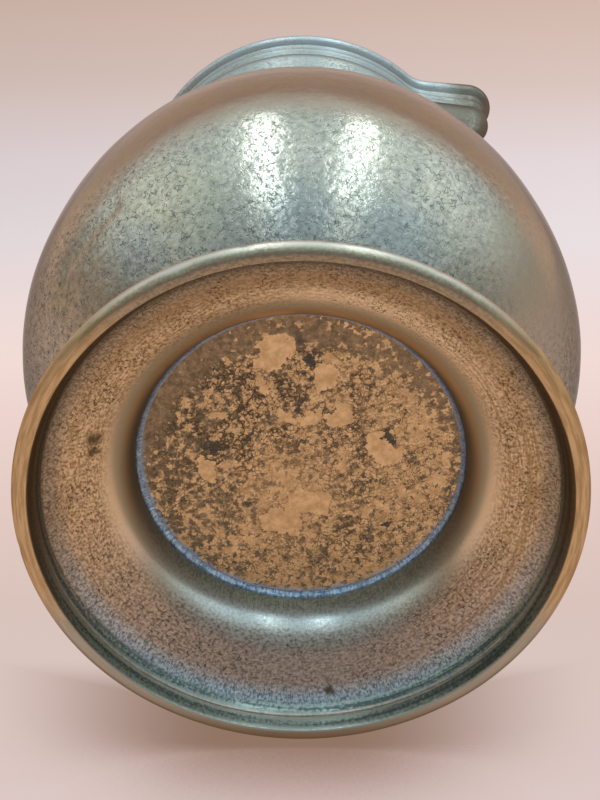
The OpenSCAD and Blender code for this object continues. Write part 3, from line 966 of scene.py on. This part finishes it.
# Paper: the pot was photographed lying on a sheet of salmon paper, on its foot and its belly.
# The sheet lights the pot from below, and shows only where the shadow of the foot falls on it.
lie_turn = 118.0
paper_clearance = 0.0005
paper_size = 1.6
lie_direction = Vector((*polar((0, 0), 1, lie_turn), 0.0))
lie_lean = math.atan2(belly_radius - foot_radius, widest - rim_round)
paper_up = -(lie_direction * math.cos(lie_lean) - Vector((0, 0, math.sin(lie_lean))))
paper_back = Vector((0, 0, math.cos(lie_lean))) + lie_direction * math.sin(lie_lean)
paper_right = paper_back.cross(paper_up)
paper_contact = lie_direction * (foot_radius + paper_clearance) + Vector((0, 0, rim_round))
paper_glow = (0.72, 0.57, 0.52, 1)
far_glow = 0.92
shadow_reach = 0.05
shadow_shift = 0.003
shadow_sides = (0.010, 0.062)
under_belly = (0.015, 0.035)
shadow_stops = (
    (0.55, (0.40, 0.31, 0.24)),
    (0.65, (0.456, 0.36, 0.29)),
    (0.76, (0.635, 0.565, 0.52)),
    (0.83, (0.83, 0.79, 0.77)),
    (0.93, (1.0, 1.0, 1.0)),
)
square = ((-1, -1), (1, -1), (1, 1), (-1, 1))


def ramp(share, stops):
    """A colour read off a row of stops."""
    made = node("ValToRGB", {0: share})
    elements = made.color_ramp.elements
    while len(elements) < len(stops):
        elements.new(0.5)
    for element, (place, colour) in zip(elements, stops):
        element.position, element.color = place, (*colour, 1)
    return made.outputs[0]


def times(first, second):
    """Two colours multiplied."""
    inputs = {0: 1.0, 6: first, 7: second}
    return node("Mix", inputs, data_type="RGBA", blend_type="MULTIPLY").outputs[2]


def sheet_finish(name, height=1.0, fade=1.0, from_below=False):
    """A sheet that the camera sees only by the shadow on it, and that glows on the pot.
    The shadow fades out above a height, and can be shown only to a camera under the floor."""
    finish = bpy.data.materials.new(name)
    finish.use_nodes = True
    finish.cycles.emission_sampling = "NONE"
    tree = finish.node_tree
    tree.nodes.clear()
    place = source(tree, "TexCoord")["Object"]
    above = height_of(place)
    rays = source(tree, "LightPath")
    open_sky = tree.nodes.new("ShaderNodeAmbientOcclusion")
    open_sky.samples = 16
    open_sky.inputs["Distance"].default_value = shadow_reach
    shadow = ramp(open_sky.outputs["AO"], shadow_stops)
    shadow_middle = paper_contact - paper_right * shadow_shift
    from_contact = vectors("SUBTRACT", place, tuple(shadow_middle))[0]
    beside = maths("ABSOLUTE", along(from_contact, tuple(paper_right)))
    behind = source(tree, "NewGeometry")["Backfacing"]
    faded = step_up(above, height, height + fade)
    clear = most(behind, faded, step_up(beside, *shadow_sides))
    if from_below:
        above_floor = maths("GREATER_THAN", above, 0.0)
        past_floor = maths("GREATER_THAN", rays["Transparent Depth"], 0.5)
        wrong_side = maths("ABSOLUTE", maths("SUBTRACT", above_floor, past_floor))
        clear = most(clear, wrong_side)
    shade = blend(clear, shadow, (1, 1, 1))
    seen = node("BsdfTransparent", {"Color": shade}).outputs[0]
    lit = times(blend(step_up(above, *under_belly), shadow, (1.0, 0.99, 0.98)), paper_glow)
    far_back = towards(from_contact, tuple(paper_back), -0.02, 0.06)
    glow = node("Emission", {"Color": lit, "Strength": between(far_back, 1.0, far_glow)})
    shown = node("MixShader", {0: rays["Is Camera Ray"], 1: glow.outputs[0], 2: seen})
    node("OutputMaterial", {"Surface": shown.outputs[0]})
    return finish


def laid_sheet(name, corners, finish):
    """A flat sheet that casts no shadow."""
    mesh = bpy.data.meshes.new(name)
    mesh.from_pydata([tuple(c) for c in corners], [], [(0, 1, 2, 3)])
    mesh.materials.append(finish)
    made = bpy.data.objects.new(name, mesh)
    bpy.context.scene.collection.objects.link(made)
    made.visible_shadow = False
    return made


paper_corners = [
    paper_contact + paper_right * side * paper_size + paper_back * ahead * paper_size
    for side, ahead in square
]
paper = laid_sheet("paper", paper_corners, sheet_finish("salmon_paper", 0.01, 0.02, from_below=True))
if paper.data.polygons[0].normal.dot(paper_up) < 0:
    paper.data.flip_normals()


# Floor: a pale sheet under the standing pot, seen only from above, that fades into the backdrop.
# It gives and takes no light, so it doesn't change how the lying pot looks.
floor_size = 0.6
floor_corners = [(x * floor_size, y * floor_size, 0.0) for x, y in square]
floor = laid_sheet("floor", floor_corners, sheet_finish("pale_floor"))
floor.visible_diffuse = floor.visible_glossy = floor.visible_transmission = False


# Camera: it looks up the foot, a third of a right angle off the pot's axis, from above the paper.
# Its place and its long lens were worked out from the ovals of the foot and of the base disc.
camera_place = Vector((0.0735, -0.1373, -0.2495))
camera_ahead = Vector((-0.2245, 0.4178, 0.8804)).normalized()
camera_up = Vector((0.4123, -0.7779, 0.4743)).normalized()
camera_right = camera_ahead.cross(camera_up).normalized()
camera_up = camera_right.cross(camera_ahead)
camera_data = bpy.data.cameras.new("camera")
camera_data.sensor_width = 36.0
camera_data.lens = 80.1
camera_data.clip_start = 0.01
camera = bpy.data.objects.new("camera", camera_data)


def set_at(thing, place, right, up, back):
    """Puts a camera or a lamp at a place and turns it to three directions."""
    turn = Matrix((right, up, back)).transposed()
    thing.matrix_world = Matrix.Translation(place) @ turn.to_4x4()
    bpy.context.scene.collection.objects.link(thing)


set_at(camera, camera_place, camera_right, camera_up, -camera_ahead)
bpy.context.scene.camera = camera


# Light: two long tubes overhead that run from front to back and fade towards the front, in a
# cool room that is brownish low down. The camera sees a pale backdrop behind, graded as painted light.
tube_colour = (0.74, 0.90, 0.96)
tube_sides = (-0.117, 0.183)
tube_height = 0.6
tube_back = 0.06
tube_width, tube_length, tube_glow = 0.038, 0.73, 8.5
end_width, end_length, end_glow = 0.050, 0.40, 2.2
end_ahead = 0.57
pot_middle = paper_contact + paper_up * 0.05 + paper_back * 0.05


def tube(name, place, width, length, glow):
    """A flat lamp of a given brightness that hangs over the paper and faces down to it."""
    data = bpy.data.lights.new(name, "AREA")
    data.shape = "RECTANGLE"
    data.size, data.size_y = width, length
    data.energy = glow * math.pi * width * length
    data.color = tube_colour
    lamp = bpy.data.objects.new(name, data)
    set_at(lamp, place, paper_right, paper_back, paper_up)
    lamp.visible_camera = False


for side in tube_sides:
    above = pot_middle + paper_up * tube_height + paper_right * side + paper_back * tube_back
    tube("tube", above, tube_width, tube_length, tube_glow)
    tube("tube_end", above - paper_back * end_ahead, end_width, end_length, end_glow)

world = bpy.data.worlds.new("room")
bpy.context.scene.world = world
world.use_nodes = True
tree = world.node_tree
tree.nodes.clear()
way = source(tree, "TexCoord")["Generated"]


def facing(direction):
    """How nearly a ray runs along a direction."""
    return along(way, tuple(direction))


def share_of(value, low, high):
    """How far a value lies from low to high, as a share."""
    return node("MapRange", {"Value": value, "From Min": low, "From Max": high}).outputs["Result"]


def tone(red, green, blue):
    """A linear colour from 8-bit values."""
    return tuple(((c / 255 + 0.055) / 1.055) ** 2.4 for c in (red, green, blue))


across_stops = (
    (0.0, (0.58, 0.43, 0.34)),
    (0.06, (0.39, 0.32, 0.27)),
    (0.11, (0.53, 0.53, 0.49)),
    (0.17, (0.90, 1.00, 1.00)),
    (0.25, (1.03, 1.18, 1.23)),
    (0.32, (0.76, 0.95, 1.05)),
    (0.50, (0.78, 0.98, 1.08)),
    (0.67, (0.86, 1.08, 1.18)),
    (0.73, (1.18, 1.42, 1.55)),
    (0.80, (0.92, 1.12, 1.22)),
    (0.86, (0.70, 0.80, 0.82)),
    (0.94, (0.50, 0.47, 0.43)),
    (1.0, (0.66, 0.51, 0.42)),
)
depth_stops = (
    (0.0, (0.28, 0.28, 0.31)),
    (0.17, (0.37, 0.38, 0.42)),
    (0.31, (0.59, 0.62, 0.64)),
    (0.39, (0.68, 0.71, 0.72)),
    (0.50, (1.0, 1.0, 1.0)),
)
rise_stops = (
    (0.06, (1.0, 0.74, 0.62)),
    (0.16, (0.90, 0.65, 0.51)),
    (0.21, (0.84, 0.60, 0.48)),
    (0.245, (0.70, 0.47, 0.40)),
    (0.29, (0.80, 0.66, 0.62)),
    (0.38, (0.86, 0.84, 0.83)),
    (0.56, (0.82, 0.95, 1.0)),
)
quarter = math.pi / 2
behind_from, behind_full, behind_top = math.radians(24), math.radians(46), math.radians(60)
across = maths("ARCTAN2", facing(paper_right), facing(paper_up))
depth = maths("ARCSINE", facing(paper_back))
rise = maths("ARCSINE", facing(paper_up))
room = times(
    ramp(share_of(across, -quarter, quarter), across_stops),
    ramp(share_of(depth, -quarter, quarter), depth_stops),
)
behind = both(step_up(depth, behind_from, behind_full), step_up(rise, behind_top, behind_full))
room = blend(behind, room, ramp(share_of(rise, 0.0, quarter), rise_stops))

picture_half = 0.225
side_gain = 0.35
plain_backdrop = tone(220, 200, 196)
# Painted light on the backdrop: around the pot's first view it is darker at the top, lighter in the middle
# and lighter to the right up high, as light fell on the paper. It is plain elsewhere.
backdrop_stops = (
    (0.0, plain_backdrop),
    (0.25, tone(217, 195, 187)),
    (0.38, tone(228, 203, 195)),
    (0.55, tone(242, 219, 213)),
    (0.70, tone(230, 219, 221)),
    (0.80, tone(224, 211, 213)),
    (0.90, tone(213, 192, 184)),
    (1.0, tone(206, 181, 169)),
)
ahead = facing(camera_ahead)
slope = maths("DIVIDE", facing(camera_up), ahead)
side = maths("DIVIDE", facing(camera_right), ahead)
backdrop = ramp(share_of(slope, -picture_half, picture_half), backdrop_stops)
gain = node("Math", {0: side, 1: side_gain, 2: 1.0}, operation="MULTIPLY_ADD").outputs[0]
gain = between(step_up(slope, 0.03, 0.12), 1.0, gain)
backdrop = node("VectorMath", {0: backdrop, "Scale": gain}, operation="SCALE").outputs[0]
backdrop = blend(step_up(ahead, 0.80, 0.93), plain_backdrop, backdrop)
seen = source(tree, "LightPath")["Is Camera Ray"]
glow = node("Background", {"Color": blend(seen, room, backdrop), "Strength": 1.0})
node("OutputWorld", {"Surface": glow.outputs[0]})
bpy.context.scene.view_settings.view_transform = "Standard"
